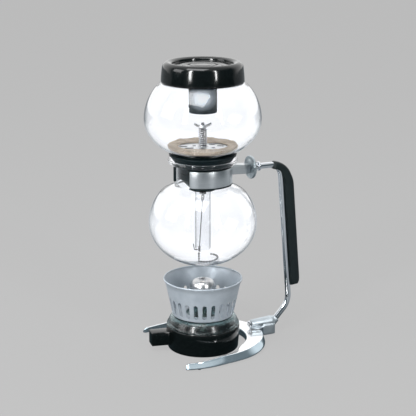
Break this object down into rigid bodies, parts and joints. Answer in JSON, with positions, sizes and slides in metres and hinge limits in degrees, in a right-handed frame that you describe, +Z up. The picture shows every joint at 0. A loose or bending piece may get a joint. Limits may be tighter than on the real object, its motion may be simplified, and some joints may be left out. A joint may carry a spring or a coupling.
{
  "type": "siphon coffee maker",
  "caption": "Siphon coffee maker: round upper glass with lid and cloth filter, round lower glass on a chrome rod stand with horseshoe foot, and a spirit burner with a slotted windscreen.",
  "frame": {"origin": "on the table plane, on the common axis of both bowls and the burner", "axes": "+Z up along the bowls' axis, +X towards the handle, Y across; symmetric about XZ except for the burner's block handle and the rim hook"},
  "size_m": [0.1938, 0.141, 0.3368],
  "materials": {
    "chrome": "polished",
    "steel": "bright",
    "brushed_steel": "satin",
    "cast_grey": "satin",
    "gloss_black": "gloss",
    "grip_black": "satin",
    "tube_grey": "satin",
    "black_rubber": "matte",
    "clear_glass": "clear",
    "green_glass": "clear",
    "filter_cloth": "matte",
    "wick_cotton": "matte",
    "windscreen_paint": "satin"
  },
  "bodies": {
    "stand": {"stand_base": "chrome", "base_pads": "black_rubber", "base_screw": "steel", "stand_lug": "cast_grey", "lug_screw": "chrome", "stand_rod": "chrome", "rod_collar": "chrome", "grip": "grip_black", "neck_jaw_front": "brushed_steel", "neck_jaw_rear": "brushed_steel", "neck_liner": "black_rubber", "clamp_screw": "chrome", "lower_bowl": "clear_glass"},
    "clamp_knob": {"clamp_knob": "chrome"},
    "upper_chamber": {"upper_bowl": "clear_glass", "rubber_gasket": "black_rubber", "filter_plate": "steel", "filter_cloth": "filter_cloth", "filter_post": "steel", "filter_spring": "steel", "filter_washer": "steel"},
    "wing_nut": {"wing_nut": "steel"},
    "pull_chain": {"stem_spring": "steel", "pull_ring": "steel", "pull_wire": "steel", "rim_hook": "steel", "bead_chain": "steel"},
    "lid": {"lid_cap": "gloss_black", "lid_collar": "gloss_black", "lid_tube": "tube_grey"},
    "burner": {"burner_base": "gloss_black", "fuel_bottle": "green_glass", "bottle_seal": "black_rubber"},
    "wick_holder": {"wick_holder": "steel"},
    "wick": {"wick": "wick_cotton"},
    "windscreen": {"windscreen": "windscreen_paint"}
  },
  "joints": [
    {"name": "clamp_knob_turn", "type": "hinge", "parent": "stand", "child": "clamp_knob", "pos_m": [0.061, 0, 0.21], "axis": [1, 0, 0], "range_deg": [0, 720]},
    {"name": "chamber_lift", "type": "slide", "parent": "stand", "child": "upper_chamber", "axis": [0, 0, 1], "range_m": [0, 0.125]},
    {"name": "wing_nut_turn", "type": "hinge", "parent": "upper_chamber", "child": "wing_nut", "pos_m": [0, 0, 0.268], "axis": [0, 0, 1], "range_deg": [0, 720]},
    {"name": "hook_pull", "type": "slide", "parent": "upper_chamber", "child": "pull_chain", "axis": [0, 0, -1], "range_m": [0, 0.004], "deforming": ["stem_spring", "bead_chain"]},
    {"name": "lid_lift", "type": "slide", "parent": "upper_chamber", "child": "lid", "axis": [0, 0, 1], "range_m": [0, 0.06]},
    {"name": "burner_slide", "type": "slide", "parent": "stand", "child": "burner", "axis": [-1, 0, 0], "range_m": [0, 0.125]},
    {"name": "windscreen_lift", "type": "slide", "parent": "burner", "child": "windscreen", "axis": [0, 0, 1], "range_m": [0, 0.012]},
    {"name": "wick_holder_lift", "type": "slide", "parent": "burner", "child": "wick_holder", "axis": [0, 0, 1], "range_m": [0, 0.012]},
    {"name": "wick_height", "type": "slide", "parent": "wick_holder", "child": "wick", "axis": [0, 0, 1], "range_m": [-0.002, 0.004]}
  ]
}
